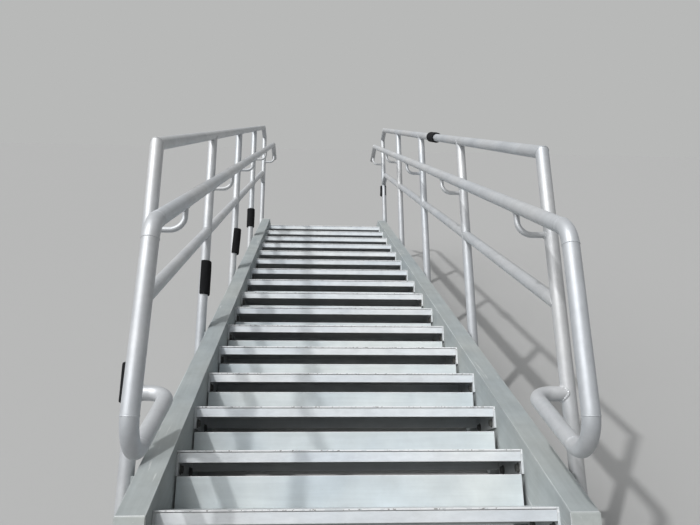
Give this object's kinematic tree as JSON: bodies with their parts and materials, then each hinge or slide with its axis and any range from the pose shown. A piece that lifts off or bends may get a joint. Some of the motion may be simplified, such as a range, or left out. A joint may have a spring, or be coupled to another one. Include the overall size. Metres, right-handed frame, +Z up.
{
  "type": "prefabricated steel stair flight",
  "caption": "Straight flight of open-riser channel stringer stairs with bent plate treads, toe plates, pipe guards and inner pipe handrails, lying on its stringers.",
  "frame": {"origin": "middle of the bounding box, on the floor that the flight lies on", "axes": "+X to the right of someone at the foot looking up the flight, +Y along the floor from the foot to the landing end, +Z up. The flight lies on its stringers, so its treads slope down towards +Y."},
  "size_m": [1.3405, 6.0667, 1.3788],
  "materials": {
    "stringer_paint": "satin grey",
    "tread_plate": "light silver grey, satin",
    "pipe": "silver, satin",
    "foam": "matte black foam"
  },
  "bodies": {
    "root": {"stringer_left": "stringer_paint", "level_stringer_left": "stringer_paint", "stringer_right": "stringer_paint", "level_stringer_right": "stringer_paint", "foot_plates": "stringer_paint", "foot_angles": "stringer_paint", "top_angles": "stringer_paint", "tread_01": "tread_plate", "tread_02": "tread_plate", "tread_03": "tread_plate", "tread_04": "tread_plate", "tread_05": "tread_plate", "tread_06": "tread_plate", "tread_07": "tread_plate", "tread_08": "tread_plate", "tread_09": "tread_plate", "tread_10": "tread_plate", "tread_11": "tread_plate", "tread_12": "tread_plate", "tread_13": "tread_plate", "tread_14": "tread_plate", "tread_15": "tread_plate", "tread_16": "tread_plate", "toe_plate_01": "tread_plate", "toe_plate_02": "tread_plate", "toe_plate_03": "tread_plate", "toe_plate_04": "tread_plate", "toe_plate_05": "tread_plate", "toe_plate_06": "tread_plate", "toe_plate_07": "tread_plate", "toe_plate_08": "tread_plate", "toe_plate_09": "tread_plate", "toe_plate_10": "tread_plate", "toe_plate_11": "tread_plate", "toe_plate_12": "tread_plate", "toe_plate_13": "tread_plate", "toe_plate_14": "tread_plate", "toe_plate_15": "tread_plate", "toe_plate_16": "tread_plate", "post_left_1": "pipe", "post_left_2": "pipe", "post_left_3": "pipe", "post_left_4": "pipe", "post_left_5": "pipe", "post_right_1": "pipe", "post_right_2": "pipe", "post_right_3": "pipe", "post_right_4": "pipe", "post_right_5": "pipe", "top_rail_left": "pipe", "top_rail_right": "pipe", "mid_rail_left": "pipe", "mid_rail_right": "pipe", "handrail_left": "pipe", "handrail_right": "pipe", "handrail_return_left": "pipe", "handrail_return_right": "pipe", "brackets": "pipe", "sleeves": "foam"}
  },
  "joints": []
}
